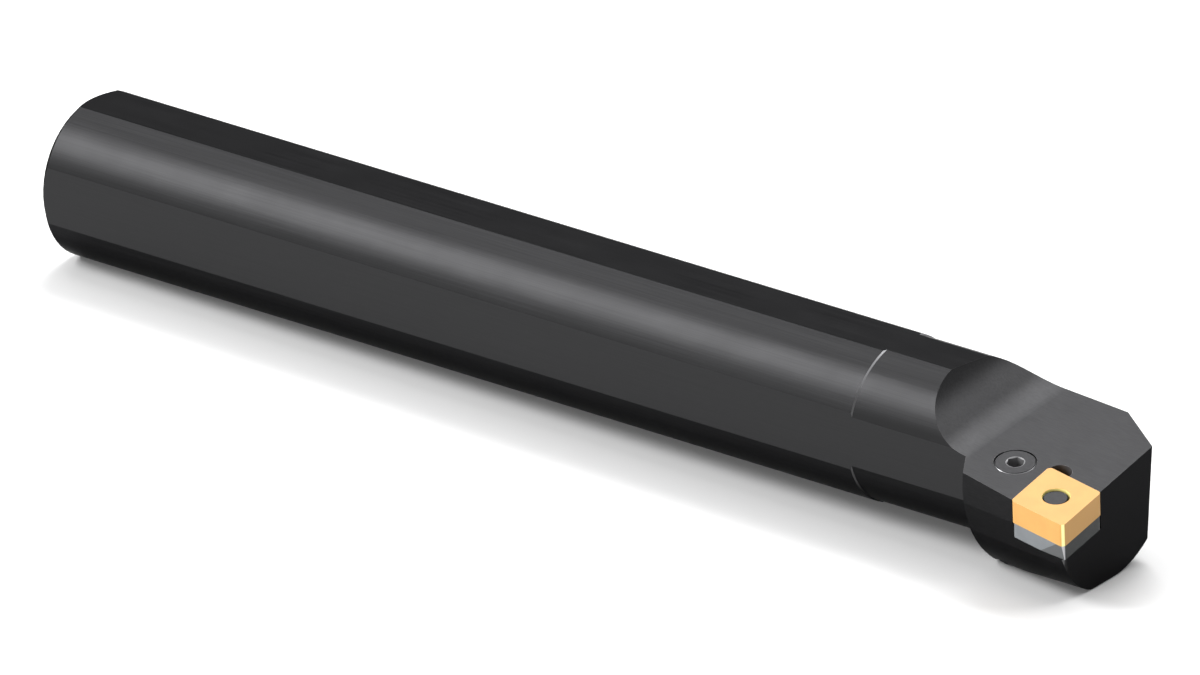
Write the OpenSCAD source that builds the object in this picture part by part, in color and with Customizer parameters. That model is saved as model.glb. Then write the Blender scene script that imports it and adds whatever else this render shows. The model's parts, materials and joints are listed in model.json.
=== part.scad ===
// Boring bar with a lever-clamped 80 degree rhombic insert, in millimetres.
// The origin is the centre of the shank's rear face. +X points forward to the
// cutting end, the cutting side is -Y, and +Z is up, on the rake side.

/* [Shank] */
// Diameter of the round shank
shank_d = 32; // [26:0.5:40]
// Length from the rear face to the insert's nose
bar_l = 250; // [180:5:320]
// Depth of the four flats below the round of the shank
flat_depth = 1; // [0.5:0.1:1.6]
// Chamfer at the rear end
rear_chamfer = 1.5; // [1:0.1:3]
// Distance from the nose back to the end of the ground shank
ground_back = 55; // [45:1:70]
// Step on the radius from the ground shank down to the neck
neck_step = 0.25; // [0.1:0.05:0.6]

/* [Cutting head] */
// Distance from the bar's axis to the nose, sideways
reach = 22; // [20:0.5:27]
// Smallest bore that the head goes into
bore_d = 40; // [36:0.5:48]
// How much less the radius of the head's round flank is than the bore's
flank_room = 2.8; // [2:0.1:4]
// Distance from the bore's axis to that flank's centre, sideways
flank_side = 2.5; // [0:0.1:4]
// Depth of that flank's centre below the axis
flank_low = 1.1; // [0:0.1:3]
// Room between the head's underside and that bore
under_room = 2.55; // [1:0.05:4]
// Lean of the shoulder behind the head, from square to the axis
shoulder_lean = 35; // [20:1:50]
// Distance from the nose back to that shoulder, where it meets the bore's radius
shoulder_back = 25.1; // [23:0.1:30]
// Distance from the axis to the start of the back corner's chamfer, at the top
back_corner = 7.9; // [4:0.1:11]
// Distance from the nose back to that start
back_corner_x = 2.9; // [1:0.1:6]
// Angle of the back corner's chamfer to the axis
back_corner_turn = 30; // [20:1:45]
// Radius of the run-out from the head's top up to the neck
runout_r = 15; // [8:0.5:20]
// Length of the head's flat top, from the nose back to the run-out
top_l = 28; // [25:0.5:34]
// Setback of the head's front and side faces behind the insert's edges
setback = 0.25; // [0.1:0.05:0.5]
// Extra turn of the side face away from the insert's side edge
side_turn = 2.8; // [0:0.1:5]
// Radius of the body's corner below the nose
body_nose_r = 1.5; // [0.8:0.1:2]
// Depth of the side face's lower edge below the axis
side_depth = 3.6; // [2:0.1:4.5]
// Lean of the facet below the side face
facet_lean = 17; // [12:0.5:20]
// Radius of the round relief below that facet
relief_r = 20.2; // [19:0.1:24]
// Lean that the round relief would have at the side face's lower edge
relief_lean = 8.5; // [7:0.5:12]

/* [Rake] */
// Axial rake angle of the insert, below zero
axial_rake = 6; // [4:0.5:8]
// Radial rake angle of the insert, below zero
radial_rake = 10; // [6:0.5:13]
// Turn of the front cutting edge in the insert's own plane
front_turn = 6; // [5:0.1:8]

/* [Insert] */
// Corner angle of the rhombic insert
corner_angle = 80; // [75:1:84]
// Diameter of the circle inscribed in the insert
insert_ic = 12.7; // [10.5:0.1:15.3]
// Thickness of the insert
insert_t = 4.76; // [3.9:0.01:6.35]
// Radius of the insert's corners
nose_r = 0.8; // [0.4:0.1:1.2]
// Diameter of the hole through the insert
insert_hole_d = 5.16; // [4.3:0.01:6.2]
// Rounding of that hole's rims
insert_rim = 0.15; // [0.1:0.05:0.4]

/* [Shim] */
// Thickness of the shim
shim_t = 3.18; // [3:0.01:4.76]
// How much shorter the shim is than the insert
shim_short = 0.3; // [0.1:0.05:0.6]
// Distance from the nose back to the shim's ground facet, at the top
ground_top = 1.6; // [1:0.1:3]
// Distance from the nose back to the shim's ground facet, at the bottom
ground_low = 5.7; // [4:0.1:8]
// Tilt of the shim's ground facet from its side
ground_tilt = 8; // [5:0.5:12]
// Outside diameter of the shim pin
pin_d = 7; // [5.8:0.1:8]
// Wall of the shim pin
pin_wall = 0.85; // [0.6:0.05:0.9]
// Depth of the shim pin in the body, below the shim
pin_sunk = 1.3; // [0.8:0.1:1.5]
// Width of the slit along the shim pin
pin_slit = 1; // [0.6:0.1:1.6]
// Gap between the shim pin's top and the top of the shim
pin_below = 0.2; // [0.1:0.05:0.4]
// Straight cut across the seat's inner corner, measured along each wall
seat_ease = 0.5; // [0.3:0.05:0.55]
// Diameter of the relief hole at the seat's inner corner
corner_hole_d = 4.6; // [3:0.1:5]
// Distance of that hole's centre from the corner, along the seat's long wall
corner_hole_at = 2.6; // [2:0.1:3.5]

/* [Lever clamp] */
// Distance from the insert's centre to the lever screw's axis
screw_gap = 13.8; // [13:0.1:16]
// Direction of the lever's arm, counted from straight forward
arm_turn = 161.6; // [155:0.1:170]
// Outside diameter of the lever screw
screw_d = 8; // [6.6:0.1:9.6]
// Length of the lever screw
screw_l = 20.8; // [19:0.1:22]
// Diameter of the lever screw at its groove
groove_d = 5.2; // [4.6:0.1:5.6]
// Drop of the groove's middle below the centre of the lever's knee
groove_drop = 0.3; // [0:0.1:0.6]
// Chamfer at the top of the lever screw
screw_edge = 0.35; // [0.2:0.05:0.6]
// Chamfer at the tip of the lever screw
screw_tip_edge = 0.7; // [0.4:0.1:1]
// Width of the hexagon sockets in the lever screw, across flats
hex_af = 3; // [2.5:0.1:3.2]
// Turn of the hexagon sockets from the lever's arm
hex_turn = 15; // [0:5:60]
// Depth of the hexagon socket at the top
hex_depth = 5; // [3:0.1:6]
// Depth of the hexagon socket at the tip
hex_tip_depth = 3.5; // [2:0.1:4]
// Radius of the lever's knee
knee_r = 2.2; // [1.8:0.1:2.4]
// Rise of the knee's top above the cavity's roof, into the shim pin's bore
knee_rise = 0.24; // [0:0.02:0.4]
// Drop of the arm's top below the top of the knee
arm_drop = 0.6; // [0.5:0.1:1]
// Width of the lever, across its arm
lever_w = 4.4; // [3.6:0.1:4.8]
// Height of the arm's tip
tip_h = 2.9; // [2.4:0.1:3.2]
// How far the arm's tip reaches round the groove
tip_wrap = 0.8; // [0.5:0.1:1]
// Thickness of the body between the seat's floor and the lever's cavity
web_t = 1.4; // [1.2:0.1:2]
// How much smaller the lever's barrel is than the insert's hole
barrel_play = 0.52; // [0.44:0.02:0.6]
// Diameter of the lever's post below the barrel
post_d = 3.5; // [3:0.1:3.8]
// Depth of the lever's top below the top of the insert
barrel_sunk = 0.4; // [0.3:0.1:1]
// Chamfer at the lever's top
barrel_edge = 0.15; // [0.1:0.05:0.4]
// Height of the barrel
barrel_h = 3.9; // [3.4:0.1:4.4]

/* [Fits] */
// Clearance of the lever screw in its bore, on the radius
screw_fit = 0.04; // [0.02:0.01:0.1]
// Clearance of the shim pin in the shim and in the body, on the radius
pin_fit = 0.03; // [0.02:0.01:0.08]
// Clearance of the barrel from the hole's wall, when clamped
barrel_fit = 0.05; // [0.03:0.01:0.08]
// Clearance above and below the arm's tip in the groove
groove_fit = 0.1; // [0.05:0.01:0.2]
// Clearance round the lever's knee
knee_fit = 0.1; // [0.05:0.05:0.2]
// Clearance on each side of the lever in its cavity
side_fit = 0.2; // [0.1:0.05:0.3]
// Clearance below the bores' ends, into the lever's cavity
bore_fit = 0.3; // [0.1:0.1:0.5]
// Clearance between the arm's tip and the bottom of the groove
tip_fit = 0.2; // [0.1:0.05:0.3]

/* [Hidden] */
$fn = 96;

past = 5;
shank_r = shank_d / 2;
flat_h = shank_r - flat_depth;
neck_r = shank_r - neck_step;
neck_start = bar_l - ground_back;
bore_r = bore_d / 2;
bore_y = bore_r - reach;
under_depth = bore_r - under_room;
blank_r = reach + past;
head_l = shoulder_back + 4 * past;

// Directions in the insert's plane, from straight forward round to the inside
side_dir = 90 + front_turn + corner_angle;
front_dir = 90 + front_turn;
body_side_dir = side_dir - side_turn;
side_l = insert_ic / sin(corner_angle);
nose = -toward(front_dir + corner_angle / 2) * nose_r / sin(corner_angle / 2);
side_end = nose + side_l * toward(side_dir);
inner_corner = side_end + side_l * toward(front_dir);
centre = (nose + inner_corner) / 2;

rake_origin = [bar_l - nose_r, nose_r - reach, 0];

seat_depth = insert_t + shim_t;
screw_r = screw_d / 2;
barrel_r = (insert_hole_d - barrel_play) / 2;
barrel_shift = barrel_play / 2 - barrel_fit;
tip_hollow_r = groove_d / 2 + tip_fit;
arm_reach = screw_gap - tip_hollow_r + tip_wrap;
groove_h = tip_h + 2 * groove_fit;
cavity_w = lever_w + 2 * side_fit;
cavity_top = seat_depth + web_t;
knee_depth = cavity_top + knee_r - knee_rise;
groove_at = knee_depth + groove_drop;

function toward(a) = [cos(a), sin(a)];
function cross2(a, b) = a[0] * b[1] - a[1] * b[0];
function meet(p, a, q, b) = p + toward(a) * (cross2(q - p, toward(b)) / cross2(toward(a), toward(b)));

// A direction in the insert's plane, as a direction of the bar
function in_bar(d) = [
  d[0] * cos(axial_rake) + d[1] * sin(radial_rake) * sin(axial_rake),
  d[1] * cos(radial_rake),
  d[1] * sin(radial_rake) * cos(axial_rake) - d[0] * sin(axial_rake)
];

// The side face's normal, its turn in plan, and its place at its lower edge
side_normal = in_bar(toward(body_side_dir + 90));
relief_turn = atan(side_normal[0] / side_normal[1]);
side_point = rake_origin + in_bar(side_end + setback * toward(side_dir - 90));
side_y = side_point[1] - (side_normal[0] * (bar_l - side_point[0])
  - side_normal[2] * (side_depth + side_point[2])) / side_normal[1];

// The insert's own plane: the origin is the centre of the nose radius, on top
module on_rake() {
  translate(rake_origin)
    rotate([radial_rake, axial_rake, 0])
      children();
}

// The lever's plane: X runs from the insert's centre to the lever screw
module on_arm() {
  on_rake()
    translate(centre)
      rotate([0, 0, arm_turn])
        children();
}

// A flat shape drawn in X and Z of its own plane, given a width across it
module across(width) {
  rotate([90, 0, 0])
    linear_extrude(height = width, center = true)
      children();
}

// A rod along the bar's axis, from one place to another
module rod(r, from, to) {
  translate([from, 0, 0])
    rotate([0, 90, 0])
      cylinder(r = r, h = to - from);
}

// What a rounded corner leaves of a sharp one: all beyond the round, between
// the two directions in which it begins and ends
module beyond_round(r, from, to) {
  difference() {
    polygon([[0, 0], 2 * r * toward(from), 4 * r * toward((from + to) / 2), 2 * r * toward(to)]);
    circle(r = r);
  }
}

// A rhombus with rounded corners about the insert's centre. Its width is
// measured between opposite sides.
module rhombus(width) {
  whole = width / sin(corner_angle);
  edge = whole - 2 * nose_r / sin(corner_angle);
  first = centre - edge / 2 * (toward(front_dir) + toward(side_dir));
  sharp = centre - whole / 2 * (toward(front_dir) + toward(side_dir));
  corners = [
    [first, side_dir + 90, front_turn + 360],
    [first + edge * toward(front_dir), front_turn, side_dir - 90],
    [first + edge * (toward(front_dir) + toward(side_dir)), side_dir - 90, front_turn + 180],
    [first + edge * toward(side_dir), front_turn + 180, side_dir + 90]
  ];
  difference() {
    polygon([
      sharp, sharp + whole * toward(front_dir),
      sharp + whole * (toward(front_dir) + toward(side_dir)), sharp + whole * toward(side_dir)
    ]);
    for (c = corners)
      translate(c[0])
        beyond_round(nose_r, c[1], c[2]);
  }
}

// The ground shank and the neck, with their four flats
module shank() {
  intersection() {
    union() {
      translate([rear_chamfer, 0, 0])
        rotate([0, 90, 0])
          cylinder(r = shank_r, h = neck_start - neck_step - rear_chamfer);
      rotate([0, 90, 0])
        cylinder(r1 = shank_r - rear_chamfer, r2 = shank_r, h = rear_chamfer);
      translate([neck_start - neck_step, 0, 0])
        rotate([0, 90, 0])
          cylinder(r1 = shank_r, r2 = neck_r, h = neck_step);
      rod(neck_r, neck_start, bar_l + past);
    }
    translate([-past, -flat_h, -flat_h])
      cube([bar_l + 3 * past, 2 * flat_h, 2 * flat_h]);
  }
}

// Section of the head square to the axis: a round flank on the cutting side,
// flat below, and round again on the back
module head_section() {
  translate([bore_y, 0])
    circle(r = under_depth);
  intersection() {
    translate([bore_y - flank_side, -flank_low])
      circle(r = bore_r - flank_room);
    translate([bore_y - 2 * bore_r, -under_depth])
      square([2 * bore_r, 2 * bore_r]);
  }
}

// Outline of the head in the insert's plane: the front face and the side face,
// with the rounded corner below the nose between them
module head_outline() {
  front_at = (nose_r - setback) * toward(front_turn);
  side_at = side_end + setback * toward(side_dir - 90);
  corner = meet(front_at, front_dir, side_at, body_side_dir);
  hub = meet(
    front_at - body_nose_r * toward(front_turn), front_dir,
    side_at + body_nose_r * toward(body_side_dir - 90), body_side_dir
  );
  far = 3 * bore_d;
  difference() {
    polygon([
      corner, corner + far * toward(front_dir),
      corner + far * (toward(body_side_dir) + toward(front_dir)),
      corner + far * toward(body_side_dir)
    ]);
    translate(hub)
      beyond_round(body_nose_r, body_side_dir + 90, front_turn + 360);
  }
}

// The shoulder behind the head: a leaning cone that opens into a wide rod
module head_blank() {
  rise = blank_r - neck_r + past;
  run = rise * tan(shoulder_lean);
  full_at = bar_l - shoulder_back + (blank_r - bore_r) * tan(shoulder_lean);
  translate([full_at - run, 0, 0])
    rotate([0, 90, 0])
      cylinder(r1 = blank_r - rise, r2 = blank_r, h = run);
  rod(blank_r, full_at, bar_l + past);
}

// Section of the relief below the side face: first a leaning facet, then a
// round. It is drawn from the side face's lower edge, and lets all above pass.
module relief_section() {
  intersection() {
    union() {
      translate(relief_r * toward(relief_lean))
        circle(r = relief_r);
      translate([-past, -side_depth / 2])
        square([2 * bore_d, bore_d]);
    }
    polygon([
      -past * toward(90 + facet_lean), past * 3 * toward(90 + facet_lean),
      [2 * bore_d, 3 * past], [2 * bore_d, -bore_d], -bore_d * toward(90 + facet_lean)
    ]);
  }
}

module side_relief() {
  translate([bar_l, side_y, -side_depth])
    rotate([0, 0, -relief_turn])
      translate([-2 * bore_d, 0, 0])
        rotate([90, 0, 90])
          linear_extrude(height = 4 * bore_d)
            relief_section();
}

// The part of the head that stands out beyond the neck
module head() {
  intersection() {
    head_blank();
    translate([bar_l / 2, 0, 0])
      rotate([90, 0, 90])
        linear_extrude(height = bar_l)
          head_section();
    side_relief();
  }
}

// The space that the front and the side of the head are milled back to
module milled_space() {
  on_rake()
    translate([0, 0, -2 * bore_d])
      linear_extrude(height = 4 * bore_d)
        head_outline();
  translate([-past, -bore_d, -bore_d])
    cube([past + bar_l - head_l, 2 * bore_d, 2 * bore_d]);
}

// All that is milled away above the head's flat top, and its run-out
module top_cut() {
  start = nose_r - top_l;
  on_rake()
    translate([0, bore_r, 0])
      across(4 * bore_d) {
        translate([start, 0])
          square([top_l + past * 2, bore_d]);
        translate([start, runout_r])
          circle(r = runout_r);
      }
}

// The chamfer at the head's back corner
module back_cut() {
  translate([bar_l - back_corner_x, back_corner, 0])
    rotate([0, 0, 180 - back_corner_turn])
      translate([-bore_d, -bore_d, -bore_d])
        cube([3 * bore_d, bore_d, 2 * bore_d]);
}

// The seat for the insert and the shim, and the hole that frees its corner
module seat_cut() {
  away = 2 * bore_d;
  on_rake()
    translate([0, 0, -seat_depth])
      linear_extrude(height = seat_depth + past) {
        polygon([
          inner_corner - seat_ease * toward(side_dir), inner_corner - seat_ease * toward(front_dir),
          inner_corner - away * toward(front_dir),
          inner_corner - away * (toward(front_dir) + toward(side_dir)),
          inner_corner - away * toward(side_dir)
        ]);
        translate(inner_corner - corner_hole_at * toward(side_dir))
          circle(d = corner_hole_d);
      }
}

// The bores of the shim pin and the lever screw, and the lever's cavity
module clamp_cut() {
  on_arm() {
    translate([0, 0, -cavity_top - bore_fit])
      cylinder(r = pin_d / 2 + pin_fit, h = bore_d);
    translate([screw_gap, 0, -2 * bore_r])
      cylinder(r = screw_r + screw_fit, h = 3 * bore_r);
    across(cavity_w) {
      translate([0, -knee_depth])
        circle(r = knee_r + knee_fit);
      translate([-knee_r - knee_fit, -knee_depth])
        square([screw_gap, knee_depth - cavity_top]);
      translate([0, -knee_depth - knee_r - knee_fit])
        square([screw_gap, knee_depth + knee_r + knee_fit - cavity_top]);
    }
  }
}

module bar_body() {
  color([0.15, 0.15, 0.155])
    difference() {
      intersection() {
        union() {
          shank();
          head();
        }
        milled_space();
      }
      top_cut();
      back_cut();
      seat_cut();
      clamp_cut();
    }
}

// The hole's wall with both rims rounded, to be cut from the insert
module rimmed_hole() {
  r = insert_hole_d / 2;
  rotate_extrude()
    difference() {
      translate([0, -insert_t - past])
        square([r + insert_rim, insert_t + 2 * past]);
      translate([r, -insert_t + insert_rim])
        square([2 * insert_rim, insert_t - 2 * insert_rim]);
      translate([r + insert_rim, -insert_rim])
        circle(r = insert_rim);
      translate([r + insert_rim, -insert_t + insert_rim])
        circle(r = insert_rim);
    }
}

module insert() {
  color([0.99, 0.83, 0.53])
    on_rake()
      difference() {
        translate([0, 0, -insert_t])
          linear_extrude(height = insert_t)
            rhombus(insert_ic);
        translate(centre)
          rimmed_hole();
      }
}

// All that is ground away from the shim's side, near the nose and low down
module ground_cut() {
  from = nose + shim_short / 2 / sin(corner_angle / 2) * toward(front_dir + corner_angle / 2);
  translate([from[0], from[1], -insert_t])
    rotate([0, 0, side_dir])
      translate([ground_top, 0, 0])
        rotate([0, atan(shim_t / (ground_low - ground_top)), 0])
          rotate([-ground_tilt, 0, 0])
            translate([-bore_d, 0, -bore_d])
              cube([2 * bore_d, bore_d, 2 * bore_d]);
}

// The shim, with a facet ground where it would meet the bore's wall
module shim() {
  color([0.58, 0.59, 0.61])
    on_rake()
      difference() {
        translate([0, 0, -seat_depth])
          linear_extrude(height = shim_t)
            rhombus(insert_ic - shim_short);
        translate([centre[0], centre[1], -seat_depth - past])
          cylinder(r = pin_d / 2 + pin_fit, h = shim_t + 2 * past);
        ground_cut();
      }
}

// The slit tube that holds the shim in place
module shim_pin() {
  color([0.45, 0.46, 0.48])
    on_arm()
      translate([0, 0, -seat_depth - pin_sunk])
        difference() {
          cylinder(d = pin_d, h = shim_t + pin_sunk - pin_below);
          translate([0, 0, -past])
            cylinder(d = pin_d - 2 * pin_wall, h = shim_t + 2 * past);
          translate([-pin_d, -pin_slit / 2, -past])
            cube([pin_d, pin_slit, shim_t + 2 * past]);
        }
}

// Outline of the lever's barrel and post, from the axis outward
module barrel_outline() {
  low = -barrel_sunk - barrel_h;
  polygon([
    [0, -barrel_sunk], [barrel_r - barrel_edge, -barrel_sunk], [barrel_r, -barrel_sunk - barrel_edge],
    [barrel_r, low / 2], [post_d / 2, low], [post_d / 2, -knee_depth], [0, -knee_depth]
  ]);
}

// The L-shaped lever: its barrel pulls the insert, its tip lies in the groove
module lever() {
  color([0.36, 0.36, 0.37])
    on_arm()
      difference() {
        union() {
          translate([barrel_shift, 0, 0])
            rotate_extrude()
              barrel_outline();
          across(lever_w) {
            translate([0, -knee_depth])
              circle(r = knee_r);
            polygon([
              [0, -knee_depth + knee_r - arm_drop], [0, -knee_depth - knee_r],
              [arm_reach - tip_h / 2, -groove_at - tip_h / 2],
              [arm_reach - tip_h / 2, -groove_at + tip_h / 2]
            ]);
            translate([arm_reach - tip_h / 2, -groove_at])
              circle(d = tip_h);
          }
        }
        translate([screw_gap, 0, -2 * knee_depth])
          cylinder(r = tip_hollow_r, h = 2 * knee_depth);
      }
}

// Outline of the lever screw, from the axis outward
module screw_outline() {
  polygon([
    [0, 0], [screw_r - screw_edge, 0], [screw_r, -screw_edge],
    [screw_r, -groove_at + groove_h / 2], [groove_d / 2, -groove_at + groove_h / 2],
    [groove_d / 2, -groove_at - groove_h / 2], [screw_r, -groove_at - groove_h / 2],
    [screw_r, -screw_l + screw_tip_edge], [screw_r - screw_tip_edge, -screw_l], [0, -screw_l]
  ]);
}

module lever_screw() {
  hex_r = hex_af / sqrt(3);
  color([0.2, 0.2, 0.21])
    on_arm()
      translate([screw_gap, 0, 0])
        difference() {
          rotate_extrude()
            screw_outline();
          rotate([0, 0, hex_turn]) {
            translate([0, 0, -hex_depth])
              cylinder(r = hex_r, h = hex_depth + past, $fn = 6);
            translate([0, 0, -screw_l - past])
              cylinder(r = hex_r, h = hex_tip_depth + past, $fn = 6);
          }
        }
}

bar_body();
shim();
shim_pin();
insert();
lever();
lever_screw();
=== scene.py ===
"""Looks of the boring bar: materials, the lever screw's thread, floor, lamps and camera. Metres, +Z up."""

import json
import math

import bmesh
import bpy
from mathutils import Matrix, Vector


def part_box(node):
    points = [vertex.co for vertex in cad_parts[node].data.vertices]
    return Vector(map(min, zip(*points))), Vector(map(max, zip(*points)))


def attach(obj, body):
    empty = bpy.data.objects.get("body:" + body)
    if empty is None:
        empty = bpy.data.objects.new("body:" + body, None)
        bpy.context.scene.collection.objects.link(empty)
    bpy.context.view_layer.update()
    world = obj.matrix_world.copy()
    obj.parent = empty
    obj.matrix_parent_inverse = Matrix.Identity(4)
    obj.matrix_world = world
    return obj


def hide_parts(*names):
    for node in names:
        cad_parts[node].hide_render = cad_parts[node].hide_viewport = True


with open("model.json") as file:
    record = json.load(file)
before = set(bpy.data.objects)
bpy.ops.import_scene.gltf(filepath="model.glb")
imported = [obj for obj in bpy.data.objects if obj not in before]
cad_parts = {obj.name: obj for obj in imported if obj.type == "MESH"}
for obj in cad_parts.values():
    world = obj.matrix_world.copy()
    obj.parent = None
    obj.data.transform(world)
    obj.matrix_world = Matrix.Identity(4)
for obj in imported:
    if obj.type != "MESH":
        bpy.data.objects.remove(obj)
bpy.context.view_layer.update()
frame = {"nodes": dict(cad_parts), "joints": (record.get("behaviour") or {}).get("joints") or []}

MM = 0.001

# Camera: a long lens, since the view is a parallel projection. Azimuths and elevations are in degrees
CAMERA_AZIMUTH = 39.3
CAMERA_ELEVATION = 21.9
CAMERA_LENS = 900
CAMERA_SENSOR = 36
CAMERA_DISTANCE = 5.558
CAMERA_AIM = Vector((124.37, -1.67, -1.52)) * MM
CAMERA_NEAR = 0.1
CAMERA_FAR = 20

# Lamps: name, azimuth, elevation, width, height, brightness where white is 1
SOFTBOXES = (
    ("key_left", -54, 40, 0.78, 1.0, 12),
    ("key_low", -38, 22, 0.35, 0.25, 2.4),
    ("top_back", -157, 56, 1.3, 0.75, 11.5),
    ("top_fill", -100, 58, 0.8, 1.2, 3.2),
    ("run_out", 142, 47, 1.1, 0.9, 4.4),
    ("low_left", -10, 12, 1.2, 0.8, 6.3),
)
LAMP_CENTRE = Vector((150, 0, 0)) * MM
LAMP_DISTANCE = 2.0
WHITE = (1, 1, 1, 1)
WORLD_DIFFUSE = 0.2

# Shank, as on the solid: its radius, its flats' distance from the axis and its rear chamfer
SHANK_R = 16.0 * MM
SHANK_HALF = 15.0 * MM
REAR_CHAMFER = 1.5 * MM

# Floor: it leans with the line from the rear flat's edge to the head's underside
FLOOR_GAP = 0.02 * MM
FLOOR_FROM_X = 15.0 * MM
FLOOR_SIZE = 6.0
FLOOR_COLOR = (0.9, 0.9, 0.9, 1)
FLOOR_ROUGHNESS = 0.9

# Lever screw: body, groove and sockets as on the solid, and the thread, socket mouths and drilled ends
SCREW_R = 4.0 * MM
SCREW_EDGE = 0.35 * MM
SCREW_TIP_EDGE = 0.7 * MM
GROOVE_R = 2.6 * MM
GROOVE_MIDDLE = 11.6 * MM
GROOVE_HEIGHT = 3.1 * MM
THREAD_PITCH = 1.0 * MM
THREAD_DEPTH = 0.55 * MM
THREAD_CREST = 0.25
THREAD_ROOT = 0.2
THREAD_FADE = 0.8 * MM
HEX_FLATS = 3.0 * MM
HEX_TURN = math.radians(15)
HEX_DEPTH = 5.0 * MM
HEX_TIP_DEPTH = 3.5 * MM
HEX_MOUTH = 0.05 * MM
DRILL_R = HEX_FLATS / 2 * 0.98
DRILL_TIP_R = 0.05 * MM
DRILL_DEPTH = 0.7 * MM
ROUND_STEPS = 96
THREAD_STEP = 0.1 * MM
SHARP_ANGLE = math.radians(25)

# Ways that surfaces face, as azimuth and elevation
REAR_WAY = (-90, 0)
SIDE_WAYS = ((0, 0), (180, 0))
FRONT_WAY = (95.8, -5.2)
NOSE_WAY = (50, 0)
FLANK_WAY = (96, 0)
FACET_WAY = (-0.6, -16.3)
STEP_WAY = (82, 44)
BESIDE_FLAT_WAY = (0, math.degrees(math.acos(SHANK_HALF / SHANK_R)))

# Cosines from where a surface doesn't count as facing a way to where it fully does
FACE_SPAN = (0.99, 0.997)
NOSE_SPAN = (0.88, 0.95)
FLANK_SPAN = (0.9, 0.97)
STEP_SPAN = (0.72, 0.98)
BESIDE_FLAT_SPAN = (0.9945, 0.9999)

# Rear chamfer, which gets painted shade: cosine between its surface and the rear end, and how far off that
# still counts
CHAMFER_TURN = math.cos(math.radians(45))
CHAMFER_SPREAD = 0.1

# Turned step between the ground shank and the neck, along X, where a painted highlight lies
STEP_MIDDLE = 194.875 * MM
STEP_HALF = 0.13 * MM

# Relief hole at the seat's inner corner: a point on its axis
CORNER_HOLE = Vector((238.77, -8.71, 3.31)) * MM

# Radii between which the painted light of the relief hole, the insert's hole and the socket, and the painted
# highlight of the screw's ring, change
CORNER_HOLE_WALL = (2.3 * MM, 2.32 * MM)
INSERT_HOLE_WALL = (2.61 * MM, 2.66 * MM)
SOCKET_WALL = (1.76 * MM, 1.82 * MM)
SCREW_RING = (3.74 * MM, 3.78 * MM)

# How far below the screw's top face its ring's painted highlight reaches
SCREW_TOP_DEPTH = 1.0 * MM

# Black oxide, and the painted highlights, painted light and painted shade that single surfaces get
BLACK_OXIDE = (0.0235, 0.0235, 0.0243)
OXIDE_WORN = (0.1, 0.1, 0.1)
SCREW_WORN = (0.2, 0.2, 0.2)
STEP_HIGHLIGHT_COLOR = (0.3, 0.3, 0.31)
CHAMFER_SHADE_COLOR = (0.009, 0.009, 0.009)
BESIDE_FLAT_SHADE_COLOR = (0.017, 0.017, 0.0175)
CORNER_HOLE_LIGHT_COLOR = (0.12, 0.12, 0.125)
BODY_NOSE_HIGHLIGHT_COLOR = (0.09, 0.09, 0.092)
SIDE_LIGHT_COLOR = (0.034, 0.034, 0.0349)
FRONT_SHADE_COLOR = (0.0185, 0.0185, 0.019)
FACE_LIGHT_AND_SHADE_SHARE = 0.7
SOCKET_LIGHT_COLOR = (0.22, 0.22, 0.225)
RING_HIGHLIGHT_COLOR = (0.3, 0.3, 0.31)
OXIDE_ROUGHNESS = 0.34
OXIDE_METALLIC = 0.9
HOLE_METALLIC = 0.4

# Spring steel of the shim pin
SPRING_COLOR = (0.2, 0.2, 0.21)
SPRING_WORN = (0.4, 0.4, 0.4)
SPRING_ROUGHNESS = 0.35
SPRING_METALLIC = 1.0

# Steel's surface: grains per metre along each axis, its grinding lines, uneven sheen, pits and wear
TURNED_GRAIN = (30, 4000, 4000)
FINE_GRAIN = (2000, 2000, 2000)
ROLLED_GRAIN = (400, 400, 3000)
LINE_SHADES = (0.86, 1.16)
LINE_DETAIL = 4.0
LINE_ROUGHNESS = 0.02
LINE_RELIEF = 0.004 * MM
PATCH_GRAIN = (120, 160, 160)
PATCH_ROUGHNESS = 0.015
PIT_GRAIN = (2500, 2500, 2500)
PIT_RELIEF = 0.002 * MM
WEAR_GRAIN = (900, 900, 900)
WEAR_BAND = (0.35, 0.7)
WEAR_SHARE = (0.1, 0.8)
STEEL_EDGE = 0.12 * MM
STEEL_TINT = (0.4, 0.4, 0.4, 1)

# Carbide's surface: its speckle, clouds and honed edges, which also carry a painted edge highlight, and the
# painted light of the insert's hole wall and the painted shade of the shim's facet
SPECKLE_GRAIN = (6000, 6000, 6000)
SPECKLE_SHARE = 0.4
SPECKLE_ROUGHNESS = 0.04
CLOUD_GRAIN = (250, 250, 250)
CLOUD_SHARE = 0.6
CARBIDE_BAND = (0.35, 0.65)
CARBIDE_SHADES = (0.94, 1.05)
CARBIDE_RELIEF = 0.0025 * MM
CARBIDE_EDGE = 0.06 * MM
HONE_AND_HIGHLIGHT_SHARE = 0.6
CARBIDE_SPECULAR = 0.15
INSERT_HOLE_LIGHT_COLOR = (1.0, 0.85, 0.3)
FACET_SHADE_COLOR = (0.115, 0.12, 0.123)

# Noise: the middle part of its values, and its detail and roughness
NOISE_BAND = (0.3, 0.7)
NOISE_DETAIL = 3.0
NOISE_ROUGHNESS = 0.55
SOFT_DETAIL = 2.0

# Worn edges: samples of the rounded normal, and one minus the cosine of its turn, from no wear to full wear
EDGE_SAMPLES = 6
EDGE_BAND = (0.02, 0.3)


def direction(azimuth, elevation):
    """Unit vector towards a place round the object: azimuth 0 is -Y and 90 is +X, as for the camera."""
    a, e = math.radians(azimuth), math.radians(elevation)
    return Vector((math.sin(a) * math.cos(e), -math.cos(a) * math.cos(e), math.sin(e)))


def screw_axis():
    """Unit vector up the lever screw, square to the seat."""
    joint = next(j for j in frame["joints"] if j["name"] == "screw_travel")
    return Vector(joint["axis"]).normalized()


def insert_middle():
    low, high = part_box("insert")
    return (low + high) / 2


def shaded(color, share):
    return tuple(min(1.0, share * c) for c in color)


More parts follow.
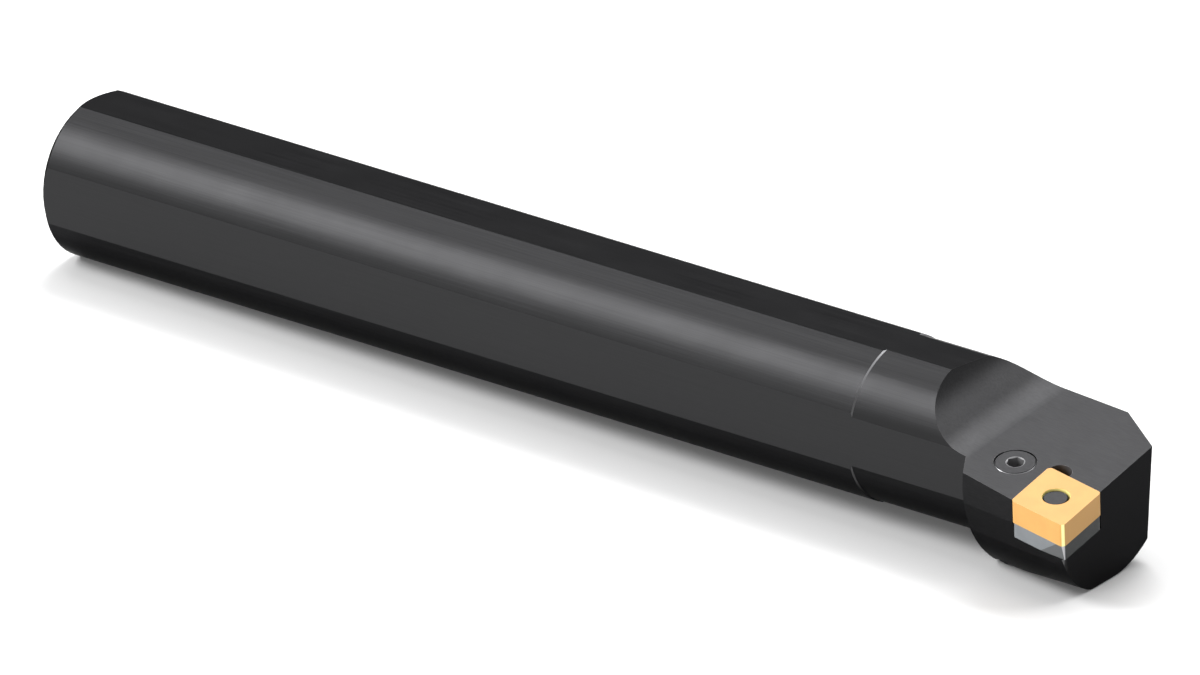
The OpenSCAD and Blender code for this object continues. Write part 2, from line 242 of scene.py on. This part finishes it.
class Shader:
    """A material's node tree with one Principled shader, built in the object's own coordinates."""

    def __init__(self, name):
        self.material = bpy.data.materials.new(name)
        self.material.use_nodes = True
        self.nodes = self.material.node_tree.nodes
        self.links = self.material.node_tree.links
        self.bsdf = self.nodes["Principled BSDF"]
        self.place = self.add("ShaderNodeTexCoord").outputs["Object"]

    def add(self, kind, **settings):
        node = self.nodes.new(kind)
        for key, value in settings.items():
            setattr(node, key, value)
        return node

    def join(self, source, target):
        self.links.new(source, target)

    def set(self, key, value):
        """Gives an input of the Principled shader a number, a colour or another node's output."""
        target = self.bsdf.inputs[key]
        if isinstance(value, bpy.types.NodeSocket):
            self.join(value, target)
        else:
            target.default_value = value

    def noise(self, grain, detail=NOISE_DETAIL):
        """Noise between 0 and 1, with so many grains per metre along each axis."""
        stretch = self.add("ShaderNodeMapping")
        stretch.inputs["Scale"].default_value = grain
        self.join(self.place, stretch.inputs["Vector"])
        node = self.add("ShaderNodeTexNoise")
        node.inputs["Scale"].default_value = 1.0
        node.inputs["Detail"].default_value = detail
        node.inputs["Roughness"].default_value = NOISE_ROUGHNESS
        self.join(stretch.outputs["Vector"], node.inputs["Vector"])
        return node.outputs["Fac"]

    def remap(self, value, low, high, to_low, to_high):
        node = self.add("ShaderNodeMapRange")
        for key, number in zip(("From Min", "From Max", "To Min", "To Max"), (low, high, to_low, to_high)):
            node.inputs[key].default_value = number
        self.join(value, node.inputs["Value"])
        return node.outputs["Result"]

    def calc(self, operation, *values):
        """A sum, product or the like of numbers and other nodes' outputs."""
        node = self.add("ShaderNodeMath", operation=operation)
        for socket, value in zip(node.inputs, values):
            if isinstance(value, (int, float)):
                socket.default_value = value
            else:
                self.join(value, socket)
        return node.outputs["Value"]

    def both(self, first, second):
        return self.calc("MULTIPLY", first, second)

    def mix(self, factor, first, second):
        """A colour between two others, each another node's output or three numbers."""
        node = self.add("ShaderNodeMix", data_type="RGBA")
        self.join(factor, node.inputs["Factor"])
        sockets = [socket for socket in node.inputs if socket.type == "RGBA"]
        for socket, value in zip(sockets, (first, second)):
            if isinstance(value, tuple):
                socket.default_value = value + (1,)
            else:
                self.join(value, socket)
        return next(socket for socket in node.outputs if socket.type == "RGBA")

    def vector_calc(self, operation, first, second):
        """A dot or cross product, or a difference, of vectors."""
        node = self.add("ShaderNodeVectorMath", operation=operation)
        for socket, value in zip(node.inputs, (first, second)):
            if isinstance(value, bpy.types.NodeSocket):
                self.join(value, socket)
            else:
                socket.default_value = value
        return node.outputs["Value" if operation == "DOT_PRODUCT" else "Vector"]

    def edges(self, radius):
        """1 on the outer edges and 0 elsewhere, from how far a rounded normal turns from the true one."""
        bevel = self.add("ShaderNodeBevel", samples=EDGE_SAMPLES)
        bevel.inputs["Radius"].default_value = radius
        true_normal = self.add("ShaderNodeNewGeometry").outputs["Normal"]
        same = self.vector_calc("DOT_PRODUCT", bevel.outputs["Normal"], true_normal)
        return self.remap(self.calc("SUBTRACT", 1.0, same), *EDGE_BAND, 0.0, 1.0)

    def turned_to(self, way):
        """Cosine between the surface's normal and a fixed direction of the object."""
        normal = self.add("ShaderNodeTexCoord").outputs["Normal"]
        return self.vector_calc("DOT_PRODUCT", normal, direction(*way))

    def facing(self, way, span):
        """1 where the surface faces a fixed direction of the object, 0 where it turns away."""
        return self.remap(self.turned_to(way), *span, 0.0, 1.0)

    def near(self, value, middle, half):
        """1 where a value lies within a distance from another, 0 elsewhere."""
        return self.calc("COMPARE", value, middle, half)

    def along(self, axis):
        """Distance along a direction of the object from its origin."""
        return self.vector_calc("DOT_PRODUCT", self.place, axis)

    def from_axis(self, origin, axis):
        """Distance from a line of the object."""
        offset = self.vector_calc("SUBTRACT", self.place, origin)
        length = self.add("ShaderNodeVectorMath", operation="LENGTH")
        self.join(self.vector_calc("CROSS_PRODUCT", offset, axis), length.inputs[0])
        return length.outputs["Value"]

    def lay(self, key, mask, color):
        """Lays a colour over what an input of the Principled shader has, where a mask says."""
        target = self.bsdf.inputs[key]
        if target.links:
            under = target.links[0].from_socket
        else:
            under = (target.default_value,) * 3
        self.join(self.mix(mask, under, color), target)

    def paint(self, mask, color, metallic=None):
        """Changes the base colour where a mask says, and there the metallic share if one is given."""
        self.lay("Base Color", mask, color)
        if metallic is not None:
            self.lay("Metallic", mask, (metallic,) * 3)

    def bump(self, height, distance, normal=None):
        node = self.add("ShaderNodeBump")
        node.inputs["Distance"].default_value = distance
        node.inputs["Strength"].default_value = 1.0
        self.join(height, node.inputs["Height"])
        if normal is not None:
            self.join(normal, node.inputs["Normal"])
        return node.outputs["Normal"]


def ground_steel(name, color, worn, grain, roughness, metallic):
    """Blackened or bare steel with fine grinding lines, uneven sheen and faintly worn edges."""
    shader = Shader(name)
    lines = shader.noise(grain, LINE_DETAIL)
    patches = shader.noise(PATCH_GRAIN, SOFT_DETAIL)
    pits = shader.noise(PIT_GRAIN, SOFT_DETAIL)
    dark, light = (shaded(color, share) for share in LINE_SHADES)
    shade = shader.mix(shader.remap(lines, *NOISE_BAND, 0.0, 1.0), dark, light)
    rubbed = shader.remap(shader.noise(WEAR_GRAIN), *WEAR_BAND, *WEAR_SHARE)
    shader.set("Base Color", shader.mix(shader.both(shader.edges(STEEL_EDGE), rubbed), shade, worn))
    sheen = shader.remap(patches, *NOISE_BAND, roughness - PATCH_ROUGHNESS, roughness + PATCH_ROUGHNESS)
    stripes = shader.remap(lines, *NOISE_BAND, -LINE_ROUGHNESS, LINE_ROUGHNESS)
    shader.set("Roughness", shader.calc("ADD", sheen, stripes))
    shader.set("Normal", shader.bump(pits, PIT_RELIEF, shader.bump(lines, LINE_RELIEF)))
    shader.set("Metallic", metallic)
    shader.set("Specular Tint", STEEL_TINT)
    shader.set("Specular IOR Level", 0.0)
    return shader


def carbide(name, color, hone_and_edge_highlight, nose_highlight, flank_shade, grain, roughness, metallic):
    """Sintered carbide, bare or coated: fine grain, faint lines from grinding, a honed cutting edge lightened
    partly as a painted edge highlight, a painted highlight on the nose and painted shade on the right-hand
    flank.
    """
    shader = Shader(name)
    speckle = shader.noise(SPECKLE_GRAIN, SOFT_DETAIL)
    cloud = shader.noise(CLOUD_GRAIN, SOFT_DETAIL)
    lines = shader.noise(grain)
    tone = shader.calc("ADD", shader.both(cloud, CLOUD_SHARE), shader.both(speckle, SPECKLE_SHARE))
    dark, light = (shaded(color, share) for share in CARBIDE_SHADES)
    shade = shader.mix(shader.remap(tone, *CARBIDE_BAND, 0.0, 1.0), dark, light)
    # Edges lighter: partly honing, partly a painted edge highlight
    shader.set("Base Color", shader.mix(shader.both(shader.edges(CARBIDE_EDGE), HONE_AND_HIGHLIGHT_SHARE), shade, hone_and_edge_highlight))
    # Painted shade: the right-hand flank, which faces away from the lamps, made darker
    shader.paint(shader.facing(FLANK_WAY, FLANK_SPAN), flank_shade)
    # Painted highlight: a light strip on the rounded nose
    shader.paint(shader.facing(NOSE_WAY, NOSE_SPAN), nose_highlight)
    low, high = roughness - SPECKLE_ROUGHNESS, roughness + SPECKLE_ROUGHNESS
    shader.set("Roughness", shader.remap(speckle, *NOISE_BAND, low, high))
    shader.set("Normal", shader.bump(lines, CARBIDE_RELIEF, shader.bump(speckle, CARBIDE_RELIEF)))
    shader.set("Metallic", metallic)
    shader.set("Specular IOR Level", CARBIDE_SPECULAR)
    return shader


def black_oxide(name, worn, grain):
    return ground_steel(name, BLACK_OXIDE, worn, grain, OXIDE_ROUGHNESS, OXIDE_METALLIC)


def body_steel():
    """Black oxide, with painted highlights on the step and the nose, painted light in the relief hole and on
    the side flats, and painted shade on the chamfer, beside the flats and on the front face.
    """
    shader = black_oxide("blackened_steel", OXIDE_WORN, TURNED_GRAIN)
    place_x = shader.along((1, 0, 0))
    # Painted highlight: a light line on the turned step before the neck
    step_highlight = shader.both(shader.near(place_x, STEP_MIDDLE, STEP_HALF), shader.facing(STEP_WAY, STEP_SPAN))
    shader.paint(step_highlight, STEP_HIGHLIGHT_COLOR)
    # Painted shade: the rear chamfer made darker and not metallic
    sloped = shader.near(shader.turned_to(REAR_WAY), CHAMFER_TURN, CHAMFER_SPREAD)
    chamfer = shader.both(shader.near(place_x, 0.0, REAR_CHAMFER), sloped)
    shader.paint(chamfer, CHAMFER_SHADE_COLOR, metallic=0.0)
    # Painted shade: a dark line on the round just beside the flats
    shader.paint(shader.facing(BESIDE_FLAT_WAY, BESIDE_FLAT_SPAN), BESIDE_FLAT_SHADE_COLOR)
    # Painted light: the relief hole's wall made lighter and less metallic, where it lies in shade
    from_hole = shader.from_axis(CORNER_HOLE, screw_axis())
    shader.paint(shader.remap(from_hole, *CORNER_HOLE_WALL, 1.0, 0.0), CORNER_HOLE_LIGHT_COLOR, HOLE_METALLIC)
    # Painted highlight: a lighter strip on the body's rounded corner below the shim's nose
    shader.paint(shader.facing(NOSE_WAY, NOSE_SPAN), BODY_NOSE_HIGHLIGHT_COLOR)
    # Painted light on the side flats, at a share over the steel's own colour
    for way in SIDE_WAYS:
        shader.paint(shader.both(shader.facing(way, FACE_SPAN), FACE_LIGHT_AND_SHADE_SHARE), SIDE_LIGHT_COLOR)
    # Painted shade on the front face, at the same share
    shader.paint(shader.both(shader.facing(FRONT_WAY, FACE_SPAN), FACE_LIGHT_AND_SHADE_SHARE), FRONT_SHADE_COLOR)
    return shader


def screw_steel():
    """Black oxide, with painted light in the socket and a painted highlight on the chamfer round the top
    face.
    """
    shader = black_oxide("screw_steel", SCREW_WORN, FINE_GRAIN)
    top = screw_frame()[0].to_translation()
    from_middle = shader.from_axis(top, screw_axis())
    # Painted light: the socket's walls lighter and less metallic, where they lie in shade
    shader.paint(shader.remap(from_middle, *SOCKET_WALL, 1.0, 0.0), SOCKET_LIGHT_COLOR, HOLE_METALLIC)
    # Painted highlight: the chamfer round the screw's top face made lighter
    outside = shader.remap(from_middle, *SCREW_RING, 0.0, 1.0)
    at_top = shader.near(shader.along(screw_axis()), top.dot(screw_axis()), SCREW_TOP_DEPTH)
    shader.paint(shader.both(outside, at_top), RING_HIGHLIGHT_COLOR)
    return shader


def lever_steel():
    return black_oxide("lever_steel", OXIDE_WORN, FINE_GRAIN)


def spring_steel():
    return ground_steel(
        "spring_steel", SPRING_COLOR, SPRING_WORN, ROLLED_GRAIN, SPRING_ROUGHNESS, SPRING_METALLIC
    )


def coated_carbide():
    """The insert's gold coating, with painted light on the wall of its hole."""
    shader = carbide(
        "coated_carbide",
        color=(0.65, 0.35, 0.107),
        hone_and_edge_highlight=(1.0, 0.85, 0.45),
        nose_highlight=(1.0, 1.0, 0.42),
        flank_shade=(0.47, 0.26, 0.08),
        grain=(400, 400, 5000),
        roughness=0.42,
        metallic=0.0,
    )
    # Painted light: the wall of the insert's hole made brighter, where it lies in shade
    from_hole = shader.from_axis(insert_middle(), screw_axis())
    shader.paint(shader.remap(from_hole, *INSERT_HOLE_WALL, 1.0, 0.0), INSERT_HOLE_LIGHT_COLOR)
    return shader


def bare_carbide():
    """The shim's grey carbide, with painted shade on its ground facet."""
    shader = carbide(
        "bare_carbide",
        color=(0.2, 0.213, 0.225),
        hone_and_edge_highlight=(0.4, 0.4, 0.42),
        nose_highlight=(0.46, 0.46, 0.475),
        flank_shade=(0.022, 0.024, 0.024),
        grain=(300, 300, 4000),
        roughness=0.4,
        metallic=0.2,
    )
    # Painted shade: the shim's ground facet, which leans downward, made darker
    shader.paint(shader.facing(FACET_WAY, FACE_SPAN), FACET_SHADE_COLOR)
    return shader


def give(piece, shader):
    piece.data.materials.clear()
    piece.data.materials.append(shader.material)


def screw_frame():
    """The lever screw's axes and length: Z up its axis, X away from the insert, origin in its top face."""
    up = screw_axis()
    points = [v.co for v in frame["nodes"]["lever_screw"].data.vertices]
    side = up.cross(Vector((1, 0, 0))).normalized()
    front = side.cross(up)
    ends = [(min(p.dot(way) for p in points), max(p.dot(way) for p in points)) for way in (front, side, up)]
    middle_front, middle_side = (sum(pair) / 2 for pair in ends[:2])
    low, top = ends[2]
    origin = front * middle_front + side * middle_side + up * top
    arm = origin - insert_middle()
    arm = (arm - up * arm.dot(up)).normalized()
    axes = Matrix((arm, up.cross(arm), up)).transposed().to_4x4()
    return Matrix.Translation(origin) @ axes, top - low


def hexagon_r(angle):
    """Radius of the hexagon socket's wall in a direction."""
    sixth = math.pi / 3
    from_middle = (angle - HEX_TURN) % sixth - sixth / 2
    return HEX_FLATS / 2 / math.cos(from_middle)


def thread_r(z, angle, start, end):
    """Radius of the thread at a height: a trapezoid that climbs with the angle and fades at its top."""
    turn = ((start - z) / THREAD_PITCH + angle / (2 * math.pi)) % 1.0
    slope = (1 - THREAD_CREST - THREAD_ROOT) / 2
    if turn < THREAD_CREST:
        share = 0.0
    elif turn < THREAD_CREST + slope:
        share = (turn - THREAD_CREST) / slope
    elif turn < THREAD_CREST + slope + THREAD_ROOT:
        share = 1.0
    else:
        share = (1 - turn) / slope
    fade = max(0.0, min(1.0, (start - z) / THREAD_FADE))
    chamfer = SCREW_R - max(0.0, SCREW_TIP_EDGE - (z - end))
    return min(SCREW_R - THREAD_DEPTH * share * fade, chamfer)


def level(z, radius):
    """A round ring of the screw, as heights and radii."""
    return [(z, radius)] * ROUND_STEPS


def screw_rings(length, angles):
    """The lever screw as rings from the bottom of the top socket round to the bottom of the tip's socket."""
    hexes = [hexagon_r(a) for a in angles]
    mouth_r = HEX_FLATS / math.sqrt(3) + HEX_MOUTH
    mouth_drops = [(mouth_r - r) / 2 for r in hexes]
    groove_top = -GROOVE_MIDDLE + GROOVE_HEIGHT / 2
    groove_low = -GROOVE_MIDDLE - GROOVE_HEIGHT / 2
    rings = [
        level(-HEX_DEPTH - DRILL_DEPTH, DRILL_TIP_R),
        level(-HEX_DEPTH, DRILL_R),
        [(-HEX_DEPTH, r) for r in hexes],
        [(-drop, r) for r, drop in zip(hexes, mouth_drops)],
        level(0, mouth_r),
        level(0, SCREW_R - SCREW_EDGE),
        level(-SCREW_EDGE, SCREW_R),
        level(groove_top, SCREW_R),
        level(groove_top, GROOVE_R),
        level(groove_low, GROOVE_R),
    ]
    steps = math.ceil((length + groove_low) / THREAD_STEP)
    for i in range(steps + 1):
        z = groove_low - (length + groove_low) * i / steps
        rings.append([(z, thread_r(z, a, groove_low, -length)) for a in angles])
    rings += [
        level(-length, mouth_r),
        [(-length + drop, r) for r, drop in zip(hexes, mouth_drops)],
        [(-length + HEX_TIP_DEPTH, r) for r in hexes],
        level(-length + HEX_TIP_DEPTH, DRILL_R),
        level(-length + HEX_TIP_DEPTH + DRILL_DEPTH, DRILL_TIP_R),
    ]
    return rings


def make_screw():
    """The lever screw with its thread, chamfered sockets and drilled socket ends."""
    place, length = screw_frame()
    angles = [2 * math.pi * i / ROUND_STEPS for i in range(ROUND_STEPS)]
    mesh = bmesh.new()
    rows = []
    for ring in screw_rings(length, angles):
        points = [(r * math.cos(a), r * math.sin(a), z) for (z, r), a in zip(ring, angles)]
        rows.append([mesh.verts.new(point) for point in points])
    for row, following in zip(rows, rows[1:]):
        for i in range(ROUND_STEPS):
            j = (i + 1) % ROUND_STEPS
            mesh.faces.new((row[j], row[i], following[i], following[j]))
    mesh.faces.new(rows[0])
    mesh.faces.new(list(reversed(rows[-1])))
    bmesh.ops.recalc_face_normals(mesh, faces=mesh.faces)
    data = bpy.data.meshes.new("lever_screw_threaded")
    mesh.to_mesh(data)
    mesh.free()
    data.transform(place)
    data.set_sharp_from_angle(angle=SHARP_ANGLE)
    screw = bpy.data.objects.new("lever_screw_threaded", data)
    bpy.context.scene.collection.objects.link(screw)
    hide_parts("lever_screw")
    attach(screw, "lever_screw")
    return screw


def make_floor():
    """A pale floor under the bar, which rests on the edge of its rear flat and on the head's underside."""
    rear = Vector((REAR_CHAMFER, 0, -SHANK_HALF - FLOOR_GAP))
    points = [v.co for v in frame["nodes"]["bar_body"].data.vertices if v.co.x > FLOOR_FROM_X]
    slope = min((p.z - rear.z) / (p.x - rear.x) for p in points)
    bpy.ops.mesh.primitive_plane_add(size=FLOOR_SIZE, location=rear)
    floor = bpy.context.object
    floor.name = "floor"
    floor.rotation_euler = (0, -math.atan(slope), 0)
    shader = Shader("pale_floor")
    shader.set("Base Color", FLOOR_COLOR)
    shader.set("Roughness", FLOOR_ROUGHNESS)
    shader.set("Specular IOR Level", 0.0)
    give(floor, shader)


def make_world():
    """White where the camera or a reflection sees it, and a soft fill for all else."""
    world = bpy.data.worlds.new("studio")
    bpy.context.scene.world = world
    world.use_nodes = True
    nodes, links = world.node_tree.nodes, world.node_tree.links
    nodes.clear()
    path = nodes.new("ShaderNodeLightPath")
    seen = path.outputs["Is Camera Ray"]
    for ray in ("Is Glossy Ray", "Is Transmission Ray"):
        either = nodes.new("ShaderNodeMath")
        either.operation = "MAXIMUM"
        links.new(seen, either.inputs[0])
        links.new(path.outputs[ray], either.inputs[1])
        seen = either.outputs[0]
    strength = nodes.new("ShaderNodeMapRange")
    strength.inputs["To Min"].default_value = WORLD_DIFFUSE
    strength.inputs["To Max"].default_value = 1.0
    links.new(seen, strength.inputs["Value"])
    background = nodes.new("ShaderNodeBackground")
    background.inputs["Color"].default_value = WHITE
    links.new(strength.outputs["Result"], background.inputs["Strength"])
    output = nodes.new("ShaderNodeOutputWorld")
    links.new(background.outputs["Background"], output.inputs["Surface"])


def softbox(name, azimuth, elevation, width, height, brightness):
    """A rectangular lamp that faces the bar, with the brightness of its surface."""
    lamp = bpy.data.lights.new(name, "AREA")
    lamp.shape = "RECTANGLE"
    lamp.size, lamp.size_y = width, height
    lamp.energy = brightness * width * height * math.pi
    box = bpy.data.objects.new(name, lamp)
    towards = direction(azimuth, elevation)
    box.location = LAMP_CENTRE + towards * LAMP_DISTANCE
    box.rotation_mode = "QUATERNION"
    box.rotation_quaternion = towards.to_track_quat("Z", "Y")
    box.visible_camera = False
    bpy.context.scene.collection.objects.link(box)


def make_camera():
    camera = bpy.data.objects.new("camera", bpy.data.cameras.new("camera"))
    bpy.context.scene.collection.objects.link(camera)
    back = direction(CAMERA_AZIMUTH, CAMERA_ELEVATION)
    camera.location = CAMERA_AIM + back * CAMERA_DISTANCE
    camera.rotation_mode = "QUATERNION"
    camera.rotation_quaternion = (-back).to_track_quat("-Z", "Y")
    camera.data.lens = CAMERA_LENS
    camera.data.sensor_width = CAMERA_SENSOR
    camera.data.clip_start = CAMERA_NEAR
    camera.data.clip_end = CAMERA_FAR
    bpy.context.scene.camera = camera


make_camera()
make_floor()
make_world()
for box in SOFTBOXES:
    softbox(*box)

give(frame["nodes"]["bar_body"], body_steel())
give(frame["nodes"]["lever"], lever_steel())
give(frame["nodes"]["shim_pin"], spring_steel())
give(frame["nodes"]["insert"], coated_carbide())
give(frame["nodes"]["shim"], bare_carbide())
give(make_screw(), screw_steel())

scene = bpy.context.scene
scene.view_settings.view_transform = "Standard"
